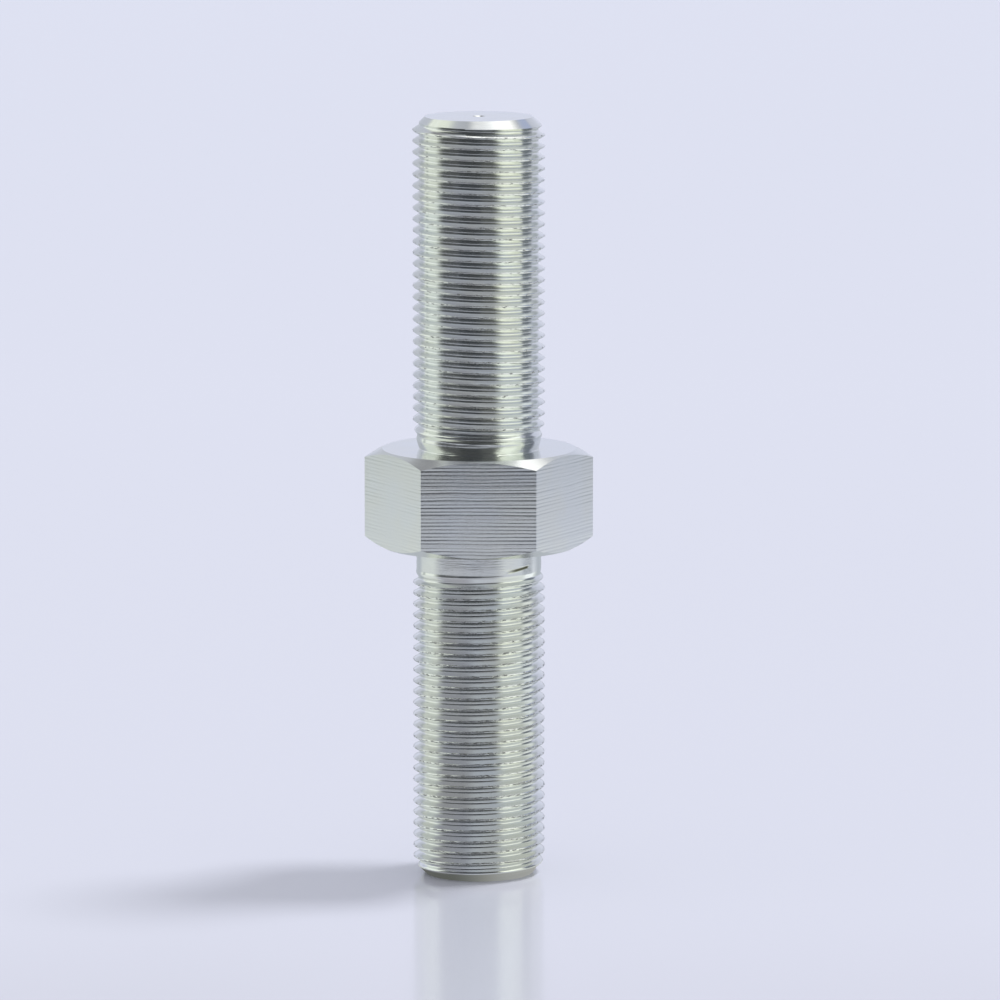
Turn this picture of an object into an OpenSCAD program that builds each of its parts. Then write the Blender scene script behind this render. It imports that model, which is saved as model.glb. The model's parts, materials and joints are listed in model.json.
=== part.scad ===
// Jack screw: one steel bar turned to a threaded end on each side of a hexagonal collar.
// The upper end carries a left-hand thread and the lower end a right-hand one, so turning
// the collar drives both ends out or in together.
// The screw stands on its lower end. The origin is the centre of that end face and +Z runs
// along the axis. Two flats of the collar face -Y and +Y, and two of its corners lie on X.

/* [Threaded ends] */
// Length of the lower end, from its end face to the collar
lower_end_len = 59.7; // [30:0.1:150]
// Length of the upper end, from the collar to its end face
upper_end_len = 59.7; // [30:0.1:150]
// Major diameter of both threads, over the crests
thread_d = 23.7; // [12:0.1:28]
// Pitch of both threads
thread_pitch = 2; // [1:0.25:3]
// Plain neck between the collar and the run-out of each thread
neck_len = 3.2; // [1.5:0.1:8]
// Length over which each thread runs out into its neck
runout_len = 1.8; // [0.5:0.1:4]
// Chamfer of each end at 45 degrees
end_chamfer = 2.2; // [0.5:0.1:3.5]
// Radius of the corner where each neck meets the collar
shoulder_fillet = 0.4; // [0.2:0.1:1]

/* [Hexagonal collar] */
// Width of the collar across two opposite flats, the wrench size
across_flats = 35.5; // [30:0.5:60]
// Height of the collar along the axis
collar_h = 17.6; // [10:0.1:40]
// How far the rim of each round bearing face lies inside the flats
bearing_inset = 0.45; // [0.1:0.05:1.2]
// Slope of the chamfer that takes off the collar's corners
corner_chamfer_angle = 27; // [15:1:35]

/* [Centre mark] */
// Diameter of the lathe centre's mark in the upper end face
centre_mark_d = 2.4; // [1:0.1:3.5]
// Included angle of the lathe centre's point
centre_mark_angle = 120; // [60:5:140]

/* [Hidden] */
$fn = 96;

// Heights of the collar's two faces and of the upper end face
collar_bottom_z = lower_end_len;
collar_top_z = collar_bottom_z + collar_h;
overall_len = collar_top_z + upper_end_len;

// A rolled thread starts from a blank at its pitch diameter, and the neck keeps that size
pitch_d_drop = 0.6495 * thread_pitch;
neck_d = thread_d - pitch_d_drop;

// Radius of the collar's bearing faces, radius out to its corners, and how far the chamfer
// has fallen there
bearing_r = across_flats / 2 - bearing_inset;
corner_r = across_flats / 2 / cos(30);
corner_drop = (corner_r - bearing_r) * tan(corner_chamfer_angle);

centre_mark_depth = centre_mark_d / 2 / tan(centre_mark_angle / 2);

// Small overlap that keeps cuts clear of coincident faces
overlap = 0.05;

// Half section of one end, with the collar's face at height 0 and the end face at height len
module end_section(len) {
    thread_r = thread_d / 2;
    neck_r = neck_d / 2;
    polygon([
        [0, -overlap],
        [neck_r, -overlap],
        [neck_r, neck_len],
        [thread_r, neck_len + runout_len],
        [thread_r, len - end_chamfer],
        [thread_r - end_chamfer, len],
        [0, len],
    ]);
    translate([neck_r, 0]) corner_fillet(shoulder_fillet);
}

// Section of the fillet in an inside corner at the origin
module corner_fillet(r) {
    difference() {
        translate([-overlap, -overlap]) square(r + overlap);
        translate([r, r]) circle(r);
    }
}

// One turned end, standing on the plane z = 0
module threaded_end(len) {
    rotate_extrude() end_section(len);
}

// Half section of the collar's chamfers: a bearing face, a cone and the bar's corner radius
module collar_section() {
    polygon([
        [0, 0],
        [bearing_r, 0],
        [corner_r, corner_drop],
        [corner_r, collar_h - corner_drop],
        [bearing_r, collar_h],
        [0, collar_h],
    ]);
}

// Hexagonal bar with its corners chamfered on both sides, which leaves an arc on each flat
module collar() {
    intersection() {
        cylinder(r = corner_r, h = collar_h, $fn = 6);
        rotate_extrude() collar_section();
    }
}

// Shallow cone left by the lathe centre, with its mouth on the plane z = 0
module centre_mark() {
    mouth_r = centre_mark_d / 2;
    slope = mouth_r / centre_mark_depth;
    translate([0, 0, -centre_mark_depth])
        cylinder(r1 = 0, r2 = mouth_r + overlap * slope, h = centre_mark_depth + overlap);
}

module jack_screw() {
    color("silver") difference() {
        union() {
            translate([0, 0, collar_bottom_z]) {
                collar();
                mirror([0, 0, 1]) threaded_end(lower_end_len);
            }
            translate([0, 0, collar_top_z]) threaded_end(upper_end_len);
        }
        translate([0, 0, overall_len]) centre_mark();
    }
}

jack_screw();
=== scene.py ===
import json
import math

import bmesh
import bpy
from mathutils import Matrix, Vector


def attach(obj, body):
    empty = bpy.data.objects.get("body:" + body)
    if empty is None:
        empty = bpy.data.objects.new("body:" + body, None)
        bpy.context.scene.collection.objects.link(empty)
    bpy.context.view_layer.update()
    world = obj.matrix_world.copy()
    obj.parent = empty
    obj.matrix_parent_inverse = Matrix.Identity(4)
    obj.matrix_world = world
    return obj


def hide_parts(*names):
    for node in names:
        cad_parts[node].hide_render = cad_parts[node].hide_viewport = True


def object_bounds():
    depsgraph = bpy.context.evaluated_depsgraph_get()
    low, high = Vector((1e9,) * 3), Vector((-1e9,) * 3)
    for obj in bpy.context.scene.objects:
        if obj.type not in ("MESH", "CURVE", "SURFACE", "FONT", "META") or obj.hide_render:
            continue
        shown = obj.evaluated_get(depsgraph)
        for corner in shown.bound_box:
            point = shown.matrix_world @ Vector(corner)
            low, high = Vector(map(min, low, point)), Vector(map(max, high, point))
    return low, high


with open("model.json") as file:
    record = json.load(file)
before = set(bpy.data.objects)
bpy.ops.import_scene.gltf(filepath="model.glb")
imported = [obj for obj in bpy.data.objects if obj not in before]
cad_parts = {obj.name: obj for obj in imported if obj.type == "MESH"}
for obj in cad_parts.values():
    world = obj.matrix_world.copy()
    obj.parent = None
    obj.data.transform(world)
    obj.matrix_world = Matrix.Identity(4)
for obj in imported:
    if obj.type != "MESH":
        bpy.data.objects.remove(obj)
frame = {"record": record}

cad_low, cad_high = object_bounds()

# Threaded ends
# Each end of the steel bar is turned to the thread's pitch diameter and chamfered. The thread is
# then rolled: dies press the roots in and squeeze the crests up until they nearly close.
# The upper end is rolled left-handed and the lower end right-handed.
MM = 0.001
mounts = {mount["name"]: mount for mount in frame["record"]["mounts"]}
upper_thread = mounts["upper_thread"]
collar_top = mounts["upper_bearing_face"]["pos_m"][2]
collar_bottom = mounts["lower_bearing_face"]["pos_m"][2]
flat_distance = -mounts["front_wrench_flat"]["pos_m"][1]
end_length = cad_high.z - collar_top
thread_radius = upper_thread["dims"]["r_mm"] * MM
thread_length = upper_thread["dims"]["length_mm"] * MM
thread_top = upper_thread["pos_m"][2] + thread_length / 2
end_chamfer = cad_high.z - thread_top
upper_start_lag = 0.6 * MM
lower_start_lag = 2.1 * MM
neck_and_run_out = end_length - end_chamfer - thread_length
upper_thread_start = neck_and_run_out + upper_start_lag
lower_thread_start = neck_and_run_out + lower_start_lag
shoulder_fillet = 0.15 * MM
pitch = 2 * MM
crest_round = 0.18 * MM
root_round = 0.40 * MM
PITCH_LINE_DEPTH = 0.325
neck_radius = thread_radius - PITCH_LINE_DEPTH * pitch
upper_run_out = 4.6 * MM
lower_run_out = 3.2 * MM
undercut = 0.55 * MM
undercut_length = 2.3 * MM
centre_mark_radius = 1.2 * MM
centre_mark_depth = 0.7 * MM
start_turn = 0.18
upper_edge_round = 0.5 * MM
lower_edge_round = 1.3 * MM

SEGMENTS = 84
ROWS_PER_PITCH = 14
ROW_BUNCHING = 0.45
CUT_SEGMENTS = 180
inside_collar = 2 * MM
past_end = 2 * MM
FLANK_SLOPE = math.tan(math.radians(60))
WELD = 0.002 * MM
EDGE_PLAY = 0.1 * MM


class Wire:
    """A socket in a node tree: operators add Math nodes, and node() adds any other node."""

    def __init__(self, tree, socket=None):
        self.tree = tree
        self.socket = socket

    def node(self, kind, settings={}, sockets={}, out=0):
        made = self.tree.nodes.new(kind)
        for name, value in settings.items():
            setattr(made, name, value)
        for key, value in sockets.items():
            for one in value if isinstance(value, list) else [value]:
                if isinstance(one, Wire):
                    self.tree.links.new(one.socket, made.inputs[key])
                else:
                    made.inputs[key].default_value = one
        return Wire(self.tree, made.outputs[out])

    def math(self, operation, *values):
        return self.node("ShaderNodeMath", {"operation": operation}, dict(enumerate(values)))

    def __add__(self, other):
        return self.math("ADD", self, other)

    def __radd__(self, other):
        return self.math("ADD", other, self)

    def __sub__(self, other):
        return self.math("SUBTRACT", self, other)

    def __rsub__(self, other):
        return self.math("SUBTRACT", other, self)

    def __mul__(self, other):
        return self.math("MULTIPLY", self, other)

    def __rmul__(self, other):
        return self.math("MULTIPLY", other, self)

    def __truediv__(self, other):
        return self.math("DIVIDE", self, other)

    def __rtruediv__(self, other):
        return self.math("DIVIDE", other, self)

    def __abs__(self):
        return self.math("ABSOLUTE", self)

    def over(self, level):
        """How far the value is above a level, or 0 below it."""
        return self.math("MAXIMUM", self - level, 0.0)

    def rise(self, start, end):
        """A smooth step from 0 at start to 1 at end."""
        bounds = {0: self, 1: start, 2: end}
        return self.node("ShaderNodeMapRange", {"interpolation_type": "SMOOTHSTEP"}, bounds)

    def within(self, lowest, highest):
        return self.math("MINIMUM", self.math("MAXIMUM", self, lowest), highest)


def grower(name, sizes):
    """A geometry tree with one named input for each size, and the wires from those inputs."""
    tree = bpy.data.node_groups.new(name, "GeometryNodeTree")
    tree.interface.new_socket("Geometry", in_out="OUTPUT", socket_type="NodeSocketGeometry")
    for size in sizes:
        tree.interface.new_socket(size, in_out="INPUT", socket_type="NodeSocketFloat")
    entry = tree.nodes.new("NodeGroupInput")
    return tree, {size: Wire(tree, entry.outputs[size]) for size in sizes}


def close_tree(tree, shape):
    """Ends a tree in Realize Instances and Set Material."""
    solid = shape.node("GeometryNodeRealizeInstances", {}, {"Geometry": shape})
    plated = shape.node("GeometryNodeSetMaterial", {}, {"Geometry": solid, "Material": zinc_plate})
    tree.links.new(plated.socket, tree.nodes.new("NodeGroupOutput").inputs[0])


def grown(name, tree, sizes):
    """A new object with the plain mesh that a tree makes from its sizes."""
    seed = bpy.data.objects.new(name, bpy.data.meshes.new(name))
    bpy.context.scene.collection.objects.link(seed)
    grow = seed.modifiers.new("grow", "NODES")
    grow.node_group = tree
    for item in tree.interface.items_tree:
        if item.in_out == "INPUT":
            grow[item.identifier] = sizes[item.name]
    evaluated = seed.evaluated_get(bpy.context.evaluated_depsgraph_get())
    mesh = bpy.data.meshes.new_from_object(evaluated)
    seed.modifiers.remove(grow)
    seed.data = mesh
    return seed


def polar_shell(start, columns, rows, radius_and_height):
    """A closed shell of level or winding rows around Z, from each row's radius and height."""
    grid = start.node(
        "GeometryNodeMeshGrid",
        {},
        {"Size X": 1.0, "Size Y": 1.0, "Vertices X": columns + 1, "Vertices Y": rows + 1},
    )
    place = start.node("GeometryNodeInputPosition")
    across = start.node("ShaderNodeSeparateXYZ", {}, {0: place}, 0)
    along = start.node("ShaderNodeSeparateXYZ", {}, {0: place}, 1)
    turn = start.math("ROUND", (across + 0.5) * columns) / columns
    row = start.math("ROUND", (along + 0.5) * rows)
    radius, height = radius_and_height(turn, row)
    not_pole = row.math("GREATER_THAN", row, 0.5) * row.math("LESS_THAN", row, rows - 0.5)
    radius = radius * not_pole
    angle = turn * math.tau
    point = start.node(
        "ShaderNodeCombineXYZ",
        {},
        {0: radius * angle.math("COSINE", angle), 1: radius * angle.math("SINE", angle), 2: height},
    )
    shell = start.node("GeometryNodeSetPosition", {}, {"Geometry": grid, "Position": point})
    return start.node("GeometryNodeMergeByDistance", {}, {"Geometry": shell, "Distance": WELD})


def cut(shape, operation, tool):
    """The shape cut by a tool: INTERSECT keeps what is inside it, and DIFFERENCE what is outside."""
    settings = {"operation": operation, "solver": "MANIFOLD"}
    sockets = {0: shape, 1: tool} if operation == "DIFFERENCE" else {1: [shape, tool]}
    return shape.node("GeometryNodeMeshBoolean", settings, sockets)


def cone(start, top_radius, bottom_radius, depth, top_height, upside_down=False):
    """A closed cone on Z with its top at a height, or its bottom if it is upside down."""
    body = start.node(
        "GeometryNodeMeshCone",
        {},
        {"Vertices": CUT_SEGMENTS, "Radius Top": top_radius, "Radius Bottom": bottom_radius, "Depth": depth},
    )
    turn = (math.pi, 0.0, 0.0) if upside_down else (0.0, 0.0, 0.0)
    lift = top_height + depth if upside_down else top_height - depth
    place = start.node("ShaderNodeCombineXYZ", {}, {2: lift})
    return start.node(
        "GeometryNodeTransform", {}, {"Geometry": body, "Translation": place, "Rotation": turn}
    )


zinc_plate = bpy.data.materials.new("zinc_plate")
end_sizes = {
    "Major Radius": thread_radius,
    "Pitch": pitch,
    "Crest Round": crest_round,
    "Root Round": root_round,
    "Neck Radius": neck_radius,
    "Thread Start": upper_thread_start,
    "Shoulder Fillet": shoulder_fillet,
    "Run-out": upper_run_out,
    "Undercut": undercut,
    "Undercut Length": undercut_length,
    "End Length": end_length,
    "End Chamfer": end_chamfer,
    "Edge Round": upper_edge_round,
    "Hand": 1.0,
    "Start Turn": start_turn,
    "Centre Mark Radius": centre_mark_radius,
    "Centre Mark Depth": centre_mark_depth,
}
end_tree, end_size = grower("threaded_end", end_sizes)
tube_pitches = math.ceil((end_length + inside_collar + past_end) / pitch) + 3
pitches_before = math.ceil(inside_collar / pitch) + 2


def rolled_thread(turn, row):
    """Radius and height of a rolled thread that fades out to the plain neck at the collar."""
    pitches = row / ROWS_PER_PITCH - pitches_before
    wave = pitches * (4 * math.pi)
    bunched = pitches - wave.math("SINE", wave) * (ROW_BUNCHING / (4 * math.pi))
    winding = end_size["Hand"] * (turn - end_size["Start Turn"])
    height = ((bunched + winding) * end_size["Pitch"]).within(-inside_collar, end_length + past_end)
    from_crest = abs(bunched - pitches.math("ROUND", pitches)) * end_size["Pitch"]
    crest = (end_size["Crest Round"] - from_crest).over(0.0)
    root = from_crest.over(end_size["Pitch"] / 2 - end_size["Root Round"])
    fall = (
        from_crest
        - end_size["Crest Round"] / 2
        + crest * crest / (2 * end_size["Crest Round"])
        - root * root / (2 * end_size["Root Round"])
    )
    threaded = end_size["Major Radius"] - fall * FLANK_SLOPE
    formed = height.rise(end_size["Thread Start"] - end_size["Run-out"], end_size["Thread Start"])
    ending = 1 - height.rise(end_length + past_end / 2, end_length + past_end)
    corner = (end_size["Shoulder Fillet"] - height).within(0.0, end_size["Shoulder Fillet"])
    chord = end_size["Shoulder Fillet"] * end_size["Shoulder Fillet"] - corner * corner
    fillet = end_size["Shoulder Fillet"] - chord.math("SQRT", chord)
    narrowing = (1 - height / end_size["Undercut Length"]).within(0.0, 1.0)
    neck = end_size["Neck Radius"] - end_size["Undercut"] * narrowing * narrowing
    turned = neck + fillet + (threaded - neck) * formed * ending
    end_face_radius = end_size["Major Radius"] - end_size["End Chamfer"]
    chamfered = end_face_radius + end_size["End Length"] - height + EDGE_PLAY
    closeness = (1 - abs(turned - chamfered) / end_size["Edge Round"]).over(0.0)
    edge = closeness * closeness * end_size["Edge Round"] / 4
    radius = turned.math("MINIMUM", turned, chamfered) - edge
    return radius.over(0.0), height


tube = polar_shell(end_size["Pitch"], SEGMENTS, tube_pitches * ROWS_PER_PITCH, rolled_thread)
chamfer_reach = end_size["End Length"] * 1.5
flat_radius = end_size["Major Radius"] - end_size["End Chamfer"]
chamfer_cone = cone(tube, flat_radius, flat_radius + chamfer_reach, chamfer_reach, end_size["End Length"])
faced = cut(tube, "INTERSECT", chamfer_cone)
mark_cone = cone(
    tube,
    end_size["Centre Mark Radius"] * 2,
    0.0,
    end_size["Centre Mark Depth"] * 2,
    end_size["End Length"] + end_size["Centre Mark Depth"],
)
centre_marked = cut(faced, "DIFFERENCE", mark_cone)
choice = {"Switch": end_size["Centre Mark Radius"], "False": faced, "True": centre_marked}
close_tree(end_tree, tube.node("GeometryNodeSwitch", {"input_type": "GEOMETRY"}, choice))

upper_sizes = {"Hand": -1.0}
lower_sizes = {
    "Thread Start": lower_thread_start,
    "Run-out": lower_run_out,
    "Undercut": 0.0,
    "Edge Round": lower_edge_round,
    "Centre Mark Radius": 0.0,
}
upper_end = grown("upper_end", end_tree, end_sizes | upper_sizes)
lower_end = grown("lower_end", end_tree, end_sizes | lower_sizes)
for vertex in upper_end.data.vertices:
    vertex.co.z += collar_top
for vertex in lower_end.data.vertices:
    vertex.co = Vector((vertex.co.x, -vertex.co.y, collar_bottom - vertex.co.z))

# Hexagonal collar
# The collar is the full section of the bar. Its flats keep the level lines of the cutter, and
# both faces are turned with a cone that takes the corners off and leaves an arc on each flat.
bearing_inset = 0.45 * MM
bearing_radius = flat_distance - bearing_inset
chamfer_angle = math.radians(27)
corner_chamfer = math.tan(chamfer_angle)
LINES = 27
ROWS_PER_LINE = 7
line_spacing = (collar_top - collar_bottom) / LINES
line_depth = 0.011 * MM
CUT_SHARE = 5 / 7
COLLAR_COLUMNS = 60
COLLAR_ROWS = LINES * ROWS_PER_LINE + 2

collar_sizes = {
    "Flat Distance": flat_distance,
    "Height": collar_top - collar_bottom,
    "Bearing Radius": bearing_radius,
    "Corner Chamfer": corner_chamfer,
    "Line Spacing": line_spacing,
    "Line Depth": line_depth,
}
collar_tree, collar_size = grower("hex_collar", collar_sizes)


def lined_hexagon(turn, row):
    """Radius and height of a hexagonal bar whose flats are scored by level cutter lines."""
    height = ((row - 1) / (COLLAR_ROWS - 2) * collar_size["Height"]).within(0.0, collar_size["Height"])
    sector = turn * 6
    from_middle = (sector.math("FRACT", sector) - 0.5) * (math.pi / 3)
    angle = turn * math.tau
    spot = turn.node(
        "ShaderNodeCombineXYZ",
        {},
        {0: angle.math("COSINE", angle), 1: angle.math("SINE", angle), 2: height / collar_size["Height"]},
    )
    drift = turn.node("ShaderNodeTexNoise", {}, {"Vector": spot, "Scale": 2.0, "Detail": 1.0})
    near_corner = abs(from_middle).rise(math.radians(6), math.radians(27))
    ripple = turn.node("ShaderNodeTexNoise", {}, {"Vector": spot, "Scale": 7.0, "Detail": 1.0})
    level = height / collar_size["Line Spacing"] + drift * 0.7 + ripple * 0.5
    line = level.math("FLOOR", level)
    scallop = level.math("FRACT", level)
    strength = line.node("ShaderNodeTexWhiteNoise", {"noise_dimensions": "1D"}, {"W": line})
    patch = turn.node("ShaderNodeTexNoise", {}, {"Vector": spot, "Scale": 3.4, "Detail": 1.0})
    middle = 0.2 + patch.rise(0.35, 0.65) * 0.35
    share = (0.15 + strength * 1.35) * (middle + (0.8 - middle) * near_corner)
    tooth = level.math("MAXIMUM", 1 - scallop / CUT_SHARE, (scallop - CUT_SHARE) / (1 - CUT_SHARE))
    depth = collar_size["Line Depth"] * share * tooth
    radius = (collar_size["Flat Distance"] - depth) / from_middle.math("COSINE", from_middle)
    return radius, height


bar = polar_shell(collar_size["Height"], COLLAR_COLUMNS, COLLAR_ROWS, lined_hexagon)
spread = collar_size["Height"] * 2 / collar_size["Corner Chamfer"]
wide = collar_size["Bearing Radius"] + spread
top_cone = cone(bar, collar_size["Bearing Radius"], wide, collar_size["Height"] * 2, collar_size["Height"])
bottom_cone = cone(bar, collar_size["Bearing Radius"], wide, collar_size["Height"] * 2, 0.0, upside_down=True)
close_tree(collar_tree, cut(cut(bar, "INTERSECT", top_cone), "INTERSECT", bottom_cone))

screw = grown("plated_screw", collar_tree, collar_sizes)
for vertex in screw.data.vertices:
    vertex.co.z += collar_bottom
for end in (upper_end, lower_end):
    weld = screw.modifiers.new("weld", "BOOLEAN")
    weld.operation = "UNION"
    weld.solver = "MANIFOLD"
    weld.object = end
evaluated = screw.evaluated_get(bpy.context.evaluated_depsgraph_get())
solid = bpy.data.meshes.new_from_object(evaluated)
screw.modifiers.clear()
screw.data = solid
for end in (upper_end, lower_end):
    bpy.data.objects.remove(end)
THREAD_EDGE = math.radians(40)
COLLAR_EDGE = math.radians(20)
chamfer_sum = cad_high.z + thread_radius - end_chamfer
shape = bmesh.new()
shape.from_mesh(solid)
for edge in shape.edges:
    on_collar = min(Vector(v.co[:2]).length for v in edge.verts) > thread_radius + 0.2 * MM
    bend = edge.calc_face_angle(0.0)
    edge.smooth = bend < (COLLAR_EDGE if on_collar else THREAD_EDGE)
chamfer_points = {v for v in shape.verts if abs(Vector(v.co[:2]).length + v.co.z - chamfer_sum) < WELD}
chamfer_faces = {face for face in shape.faces if chamfer_points.issuperset(face.verts)}
for edge in {edge for face in chamfer_faces for edge in face.edges}:
    if not chamfer_faces.issuperset(edge.link_faces):
        edge.smooth = False
top_faces = {face for face in shape.faces if min(v.co.z for v in face.verts) > cad_high.z - WELD}
for edge in {edge for face in top_faces for edge in face.edges}:
    if not top_faces.issuperset(edge.link_faces):
        edge.smooth = False
for face in shape.faces:
    face.smooth = True
shape.to_mesh(solid)
shape.free()

# Zinc plate
# The whole screw is electroplated with zinc and passivated clear, which leaves a bright bluish
# white metal with faint straw tints and the marks of the tools underneath.
zinc_plate.use_nodes = True
plate = Wire(zinc_plate.node_tree)
zinc_plate.node_tree.nodes.clear()
place = plate.node("ShaderNodeTexCoord", {}, {}, "Object")
in_mm = plate.node("ShaderNodeVectorMath", {"operation": "SCALE"}, {0: place, "Scale": 1 / MM})
x_mm = plate.node("ShaderNodeSeparateXYZ", {}, {0: in_mm}, 0)
y_mm = plate.node("ShaderNodeSeparateXYZ", {}, {0: in_mm}, 1)
z_mm = plate.node("ShaderNodeSeparateXYZ", {}, {0: in_mm}, 2)
radius_mm = plate.math("SQRT", x_mm * x_mm + y_mm * y_mm)
crest_mm = thread_radius / MM


def grain(around, along, detail=2.0):
    """Noise from 0 to 1 with its own fineness per mm around and along the screw."""
    stretched = plate.node("ShaderNodeCombineXYZ", {}, {0: x_mm * around, 1: y_mm * around, 2: z_mm * along})
    return plate.node("ShaderNodeTexNoise", {}, {"Vector": stretched, "Scale": 1.0, "Detail": detail})


def blend(factor, first, second):
    """A colour that goes from the first to the second as the factor rises."""
    return factor.node("ShaderNodeMix", {"data_type": "RGBA"}, {0: factor, 6: first, 7: second}, 2)


on_thread = 1 - radius_mm.rise(crest_mm + 0.1, crest_mm + 0.3)
collar_middle_mm = (collar_top + collar_bottom) / 2 / MM
collar_half_mm = (collar_top - collar_bottom) / 2 / MM
clear_of_collar = abs(z_mm - collar_middle_mm).rise(collar_half_mm + 0.2, collar_half_mm + 0.8)
on_crest = radius_mm.rise(crest_mm - 0.30, crest_mm - 0.08) * on_thread * clear_of_collar
below_collar = 1 - z_mm.rise(collar_middle_mm - 1, collar_middle_mm + 1)
laps = (grain(1.0, 4.0, 3.0) + below_collar * 0.06).rise(0.53, 0.68) * on_crest
drag_lines = grain(0.35, 7.0)
on_neck = (1 - abs(z_mm - collar_middle_mm).rise(collar_half_mm + 2.4, collar_half_mm + 4.4)) * on_thread
neck_lines = grain(0.22, 4.5, 3.0) * on_neck
tint = grain(0.10, 0.12)
bearing_deg = plate.math("ARCTAN2", x_mm, 0 - y_mm) * math.degrees(1)
scar_drop_mm = 4.1
scar_climb = 0.0235
scar_mm = abs(z_mm - collar_middle_mm + collar_half_mm + scar_drop_mm - bearing_deg * scar_climb)
scar_span = bearing_deg.rise(24, 38) * (1 - bearing_deg.rise(50, 54))
scar = (1 - scar_mm.rise(0.12, 0.34)) * scar_span * on_thread
bearing_mm = bearing_radius / MM
past_cone = abs(z_mm - collar_middle_mm) - collar_half_mm + (radius_mm - bearing_mm) * corner_chamfer
on_chamfer = past_cone.rise(-0.10, -0.02) * radius_mm.rise(bearing_mm, bearing_mm + 0.08)
blue_white = (0.765, 0.785, 0.78, 1.0)
straw_white = (0.775, 0.785, 0.75, 1.0)
lap_grey = (0.25, 0.25, 0.25, 1.0)
scar_brown = (0.10, 0.095, 0.05, 1.0)
clean = blend(tint.rise(0.35, 0.65), blue_white, straw_white)
marked = blend(laps * 0.8, clean, lap_grey)
colour = blend(scar * 0.95, marked, scar_brown)
roughness = 0.11 + drag_lines * 0.08 + laps * 0.3 + on_chamfer * 0.07
relief_mm = drag_lines * 0.003 - laps * 0.04 + neck_lines * 0.02 - scar * 0.1
bump = plate.node("ShaderNodeBump", {}, {"Strength": 1.0, "Distance": MM, "Height": relief_mm})
shader = plate.node(
    "ShaderNodeBsdfPrincipled",
    {},
    {"Base Color": colour, "Metallic": 1.0, "Roughness": roughness, "Normal": bump},
)
output = zinc_plate.node_tree.nodes.new("ShaderNodeOutputMaterial")
zinc_plate.node_tree.links.new(shader.socket, output.inputs[0])
solid.materials.clear()
solid.materials.append(zinc_plate)

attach(screw, "root")
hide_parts("jack_screw")

# Table
# A pale lavender gloss board that the screw stands on, wide enough to fill the view. Its paint is
# painted darker toward the camera as painted shade, with a paler streak painted in front as a
# painted reflection of the screw. In reflections the board shows no lit paint but a painted glow:
# painted shade in front, where little light falls, a painted shadow of the screw to the left front,
# a painted contact shadow round its foot, and painted light at the sides, brightest to the right
# and a little behind.
TABLE_REACH = 6.0
board_colour = (0.73, 0.745, 0.863, 1.0)
painted_shade_board = (0.69, 0.70, 0.81, 1.0)
painted_reflection_board = (0.705, 0.735, 0.85, 1.0)
# What the metal sees in the board: painted light and shade, not the lit paint.
mirrored_front = (0.59, 0.62, 0.70, 1.0)
mirrored_dim = (0.485, 0.495, 0.56, 1.0)
mirrored_shade = (0.42, 0.425, 0.485, 1.0)
mirrored_gap = (0.34, 0.37, 0.41, 1.0)
mirrored_close_shade = (0.71, 0.745, 0.73, 1.0)
mirrored_near = (0.88, 0.925, 0.90, 1.0)
mirrored_lit = (1.18, 1.23, 1.25, 1.0)
mirrored_left = (0.68, 0.72, 0.745, 1.0)
mirrored_right = (0.635, 0.665, 0.765, 1.0)
mirrored_behind = (0.52, 0.56, 0.62, 1.0)
painted_contact_shadow_left = (0.135, 0.14, 0.13, 1.0)
painted_contact_shadow_right = (0.42, 0.425, 0.42, 1.0)
front_bearing = (-0.366, -0.930, 0.0)
shade_bearing = (-0.743, -0.669, 0.0)
gap_bearing = (0.98, 0.199, 0.0)
right_bearing = (1.0, 0.0, 0.0)
lit_bearing = (0.94, 0.342, 0.0)
back_bearing = (0.0, 1.0, 0.0)
table_mesh = bpy.data.meshes.new("table")
corners = [(x, y, 0.0) for x, y in ((-1, -1), (1, -1), (1, 1), (-1, 1))]
table_mesh.from_pydata([Vector(c) * TABLE_REACH for c in corners], [], [(0, 1, 2, 3)])
table = bpy.data.objects.new("table", table_mesh)
bpy.context.scene.collection.objects.link(table)
gloss_board = bpy.data.materials.new("gloss_board")
gloss_board.use_nodes = True
gloss_board.node_tree.nodes.clear()
board = Wire(gloss_board.node_tree)
place = board.node("ShaderNodeTexCoord", {}, {}, "Object")
distance = board.node("ShaderNodeVectorMath", {"operation": "LENGTH"}, {0: place}, "Value")
bearing = board.node("ShaderNodeVectorMath", {"operation": "NORMALIZE"}, {0: place})


def toward(bearing_of_part):
    """How closely a spot's bearing agrees with another: 1 the same way, 0 at right angles."""
    sockets = {0: bearing, 1: bearing_of_part}
    return board.node("ShaderNodeVectorMath", {"operation": "DOT_PRODUCT"}, sockets, "Value")


# The painted glow: bright at the sides, dimmer behind and in front, with a painted pool of light to the right
# and a little behind, painted shade close round the screw, darker painted bands in front and to the right,
# and a painted shadow of the screw to the left front.
far = blend(toward(right_bearing).rise(-0.2, 0.2), mirrored_left, mirrored_right)
near = blend(toward(lit_bearing).rise(0.955, 0.99), mirrored_near, mirrored_lit)
close = blend(distance.rise(0.05, 0.15), mirrored_close_shade, near)
bright = blend(distance.rise(0.17, 0.45), close, far)
rounded = blend(toward(back_bearing).rise(0.55, 0.80), bright, mirrored_behind)
dim = distance.rise(0.10, 0.14) * (1 - distance.rise(0.24, 0.32))
ahead = blend(dim, mirrored_front, mirrored_dim)
sides = blend(toward(front_bearing).rise(0.27, 0.70), rounded, ahead)
shaded = toward(shade_bearing).rise(0.72, 0.96) * (1 - distance.rise(0.10, 0.17))
front = blend(shaded, sides, mirrored_shade)
in_gap = toward(gap_bearing).rise(0.955, 0.988) * distance.rise(0.23, 0.30) * (1 - distance.rise(0.33, 0.4))
broken = blend(in_gap, front, mirrored_gap)
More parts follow.
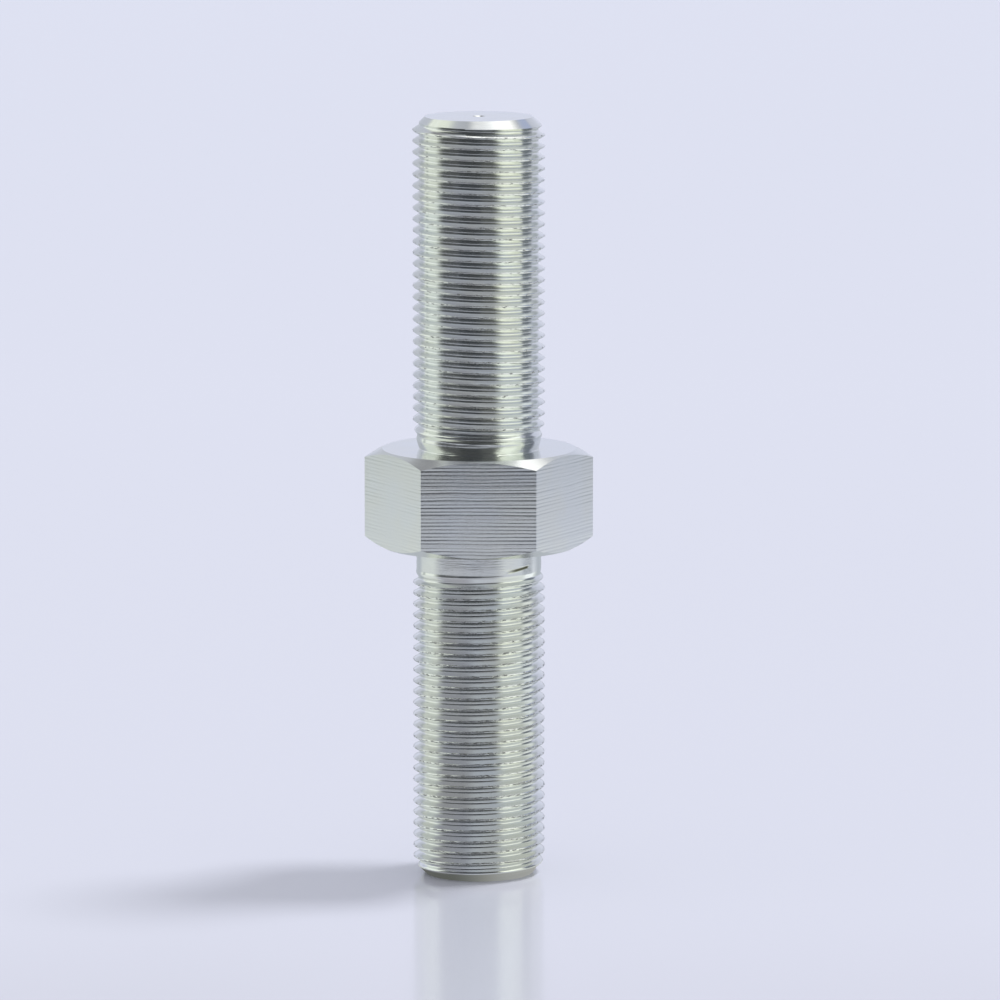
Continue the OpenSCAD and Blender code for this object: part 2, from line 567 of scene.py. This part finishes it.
# Painted contact shadow round the foot of the screw, darker on the left.
painted_contact_shadow = blend(toward(right_bearing).rise(-0.6, 0.75), painted_contact_shadow_left, painted_contact_shadow_right)
mirrored = blend(distance.rise(0.0105, 0.0130), painted_contact_shadow, broken)
glow = board.node("ShaderNodeEmission", {}, {"Color": mirrored, "Strength": 1.0})
forward = board.node("ShaderNodeSeparateXYZ", {}, {0: place}, 1)
# Painted shade: the board's colour is darker toward the camera.
paint_with_painted_shade = blend(forward.rise(-0.13, -0.03), painted_shade_board, board_colour)
sideways = abs(board.node("ShaderNodeSeparateXYZ", {}, {0: place}, 0))
# Painted reflection: a paler streak in front of the screw where the board would mirror it.
painted_reflection_ends = forward.rise(-0.26, -0.16) * (1 - forward.rise(-0.03, -0.012))
in_painted_reflection = (1 - sideways.rise(0.002, 0.0135)) * painted_reflection_ends
paint = blend(in_painted_reflection, paint_with_painted_shade, painted_reflection_board)
painted = board.node(
    "ShaderNodeBsdfPrincipled",
    {},
    {"Base Color": paint, "Roughness": 0.13, "Specular IOR Level": 0.22},
)
# Glossy rays see the painted glow, all other rays see the paint.
in_mirror = board.node("ShaderNodeLightPath", {}, {}, "Is Glossy Ray")
surface = board.node("ShaderNodeMixShader", {}, {0: in_mirror, 1: painted, 2: glow})
output = gloss_board.node_tree.nodes.new("ShaderNodeOutputMaterial")
gloss_board.node_tree.links.new(surface.socket, output.inputs[0])
table_mesh.materials.append(gloss_board)

# Studio light
# A high key light from the right casts the soft shadow to the left. Panels that show only in
# reflections stand round the screw: white on both sides and above, dark in front of it.
backdrop_colour = (0.73, 0.745, 0.863, 1.0)
mirrored_backdrop = (0.725, 0.755, 0.89, 1.0)
high_backdrop = (0.66, 0.69, 0.82, 1.0)
front_ceiling = (0.07, 0.073, 0.08, 1.0)
back_ceiling = (0.54, 0.56, 0.62, 1.0)
room_light = (0.573, 0.573, 0.573, 1.0)
world = bpy.data.worlds.new("studio")
bpy.context.scene.world = world
world.use_nodes = True
world.node_tree.nodes.clear()
studio = Wire(world.node_tree)
sight = studio.node("ShaderNodeTexCoord", {}, {}, "Generated")
backward = studio.node("ShaderNodeSeparateXYZ", {}, {0: sight}, 1)
upward = studio.node("ShaderNodeSeparateXYZ", {}, {0: sight}, 2)
ceiling = blend(backward.rise(-0.35, 0.0), front_ceiling, back_ceiling)
behind = blend(upward.rise(0.18, 0.36), mirrored_backdrop, high_backdrop)
mirrored_room = blend(upward.rise(0.35, 0.70), behind, ceiling)
seen = blend(studio.node("ShaderNodeLightPath", {}, {}, "Is Camera Ray"), mirrored_room, backdrop_colour)
lit = blend(studio.node("ShaderNodeLightPath", {}, {}, "Is Diffuse Ray"), seen, room_light)
sky = studio.node("ShaderNodeBackground", {}, {"Color": lit, "Strength": 1.0})
world_output = world.node_tree.nodes.new("ShaderNodeOutputWorld")
world.node_tree.links.new(sky.socket, world_output.inputs[0])

key = bpy.data.lights.new("key", "SUN")
key.energy = 1.5
key.angle = math.radians(14)
key_object = bpy.data.objects.new("key", key)
toward_key = Vector((0.38, 0.185, 0.906))
key_object.rotation_euler = toward_key.to_track_quat("Z", "Y").to_euler()
key_object.visible_glossy = False
bpy.context.scene.collection.objects.link(key_object)


def panel(name, centre, facing, width, height, colour, soft):
    """A soft-edged sheet that shows only in reflections, and glows as bright as its colour."""
    mesh = bpy.data.meshes.new(name)
    mesh.from_pydata([(-1, -1, 0), (1, -1, 0), (1, 1, 0), (-1, 1, 0)], [], [(0, 1, 2, 3)])
    sheet = bpy.data.objects.new(name, mesh)
    sheet.location = centre
    sheet.rotation_euler = Vector(facing).to_track_quat("Z", "Y").to_euler()
    sheet.scale = (width / 2, height / 2, 1)
    bpy.context.scene.collection.objects.link(sheet)
    glow = bpy.data.materials.new(name)
    glow.use_nodes = True
    glow.node_tree.nodes.clear()
    tree = Wire(glow.node_tree)
    spot = tree.node("ShaderNodeTexCoord", {}, {}, "Object")
    across = abs(tree.node("ShaderNodeSeparateXYZ", {}, {0: spot}, 0))
    along = abs(tree.node("ShaderNodeSeparateXYZ", {}, {0: spot}, 1))
    solid_part = (1 - across).rise(0.0, soft[0]) * (1 - along).rise(0.0, soft[1])
    light = tree.node("ShaderNodeEmission", {}, {"Color": colour, "Strength": 1.0})
    clear = tree.node("ShaderNodeBsdfTransparent")
    mixed = tree.node("ShaderNodeMixShader", {}, {0: solid_part, 1: clear, 2: light})
    output = glow.node_tree.nodes.new("ShaderNodeOutputMaterial")
    glow.node_tree.links.new(mixed.socket, output.inputs[0])
    mesh.materials.append(glow)
    sheet.visible_camera = False
    sheet.visible_diffuse = False
    sheet.visible_shadow = False


def side_panel(name, start_deg, end_deg, distance, low_z, high_z, colour, soft):
    """An upright panel between two bearings, counted from the camera's side to the right."""
    middle = math.radians((start_deg + end_deg) / 2)
    width = 2 * distance * math.tan(math.radians((end_deg - start_deg) / 2))
    outward = Vector((math.sin(middle), -math.cos(middle), 0))
    centre = outward * distance + Vector((0, 0, (low_z + high_z) / 2))
    panel(name, centre, -outward, width, high_z - low_z, colour, soft)


side_panel("left_panel", -132, -64, 0.6, -0.06, 0.9, (0.98, 1.04, 0.98, 1), (0.15, 0.1))
side_panel("left_strip", -124, -116, 0.58, -0.1, 0.14, (0.42, 0.46, 0.47, 1), (0.4, 0.3))
side_panel("left_back", -178, -136, 0.6, 0.12, 0.7, (0.58, 0.61, 0.69, 1), (0.3, 0.3))
side_panel("dark_left", -94, -24, 0.52, -0.1, 0.66, (0.11, 0.115, 0.125, 1), (0.67, 0.2))
side_panel("dark_front", -48, 22, 0.50, -0.1, 0.58, (0.065, 0.07, 0.08, 1), (0.4, 0.2))
side_panel("dark_right", -18, 52, 0.52, -0.1, 0.66, (0.12, 0.125, 0.13, 1), (0.7, 0.2))
side_panel("right_panel", 20, 98, 0.6, 0.02, 0.77, (1.02, 1.08, 0.94, 1), (0.2, 0.3))
side_panel("right_glow", 34, 82, 0.58, 0.26, 0.80, (1.4, 1.46, 1.3, 1), (0.3, 0.3))
side_panel("right_gap", 92, 117, 0.55, -0.1, 0.44, (0.21, 0.235, 0.27, 1), (0.4, 0.3))
side_panel("right_dusk", 106, 130, 0.56, 0.1, 0.5, (0.2, 0.22, 0.27, 1), (0.4, 0.2))
side_panel("right_strip", 115, 125, 0.58, -0.1, 0.14, (0.42, 0.45, 0.5, 1), (0.4, 0.3))
panel("softbox", (0.185, 0.28, 0.8), (0, 0, -1), 0.69, 0.90, (1.5, 1.5, 1.5, 1), (0.43, 0.4))
panel("right_ceiling", (0.78, 0.04, 0.82), (0, 0, -1), 0.38, 0.5, (1.3, 1.35, 1.3, 1), (0.3, 0.3))
panel("dark_ceiling", (-0.24, 0.62, 0.8), (0, 0, -1), 0.30, 0.6, (0.26, 0.265, 0.29, 1), (0.5, 0.5))
panel("left_ceiling", (-0.72, 0.4, 0.82), (0, 0, -1), 0.9, 1.4, (0.92, 0.97, 0.88, 1), (0.4, 0.3))
panel("blue_ceiling", (0.68, 0.6, 0.82), (0, 0, -1), 0.36, 0.7, (0.45, 0.51, 0.72, 1), (0.5, 0.5))

# Camera
# A long lens on a stand in front of the screw, a little to the right of its axis and looking
# slightly down, so that the front flat and the upper end face both show.
aim = Vector((3.80, 0.0, 67.85)) * MM
view_distance = 1353 * MM
view_elevation = math.radians(8.49)
lens = bpy.data.cameras.new("camera")
lens.lens = 271.3
lens.sensor_width = 36.0
lens.clip_start = 0.05
lens.clip_end = 50.0
camera = bpy.data.objects.new("camera", lens)
back = Vector((0, -math.cos(view_elevation), math.sin(view_elevation)))
camera.location = aim + back * view_distance
camera.rotation_euler = (math.pi / 2 - view_elevation, 0, 0)
bpy.context.scene.collection.objects.link(camera)
bpy.context.scene.camera = camera
bpy.context.scene.view_settings.view_transform = "Standard"
